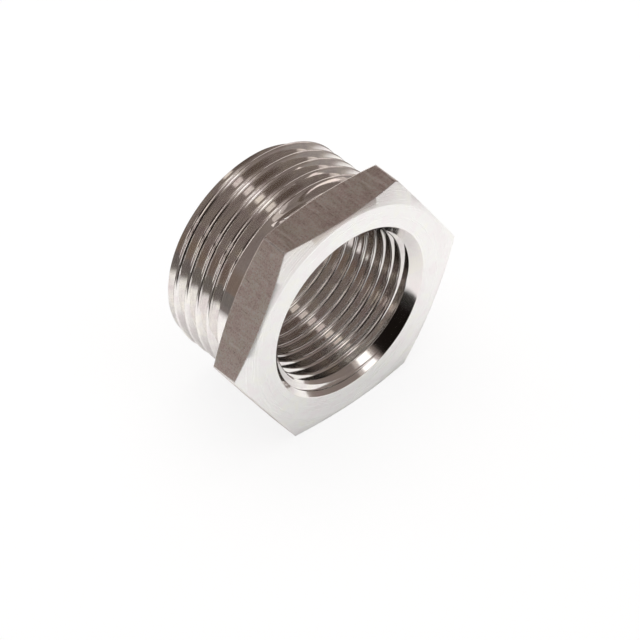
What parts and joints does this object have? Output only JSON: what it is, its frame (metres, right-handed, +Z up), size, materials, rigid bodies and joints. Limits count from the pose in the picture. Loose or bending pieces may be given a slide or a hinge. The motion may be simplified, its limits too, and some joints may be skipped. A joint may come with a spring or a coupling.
{
  "type": "reducing nipple",
  "caption": "Hexagon reducing nipple: a spanner head with a smaller female pipe thread through its bore and a larger male pipe thread on its short shank.",
  "frame": {"origin": "on the axis of both threads, at half of the overall length", "axes": "+Y along the axis from the hexagon's mouth to the threaded tip, +Z up out of the hexagon's top flat, +X through a corner of the hexagon; it lies on the hexagon's lower flat"},
  "size_m": [0.0416, 0.0206, 0.036],
  "materials": {
    "stainless_steel": "turned and milled, bare"
  },
  "bodies": {
    "root": {"nipple_body": "stainless_steel"}
  },
  "joints": []
}
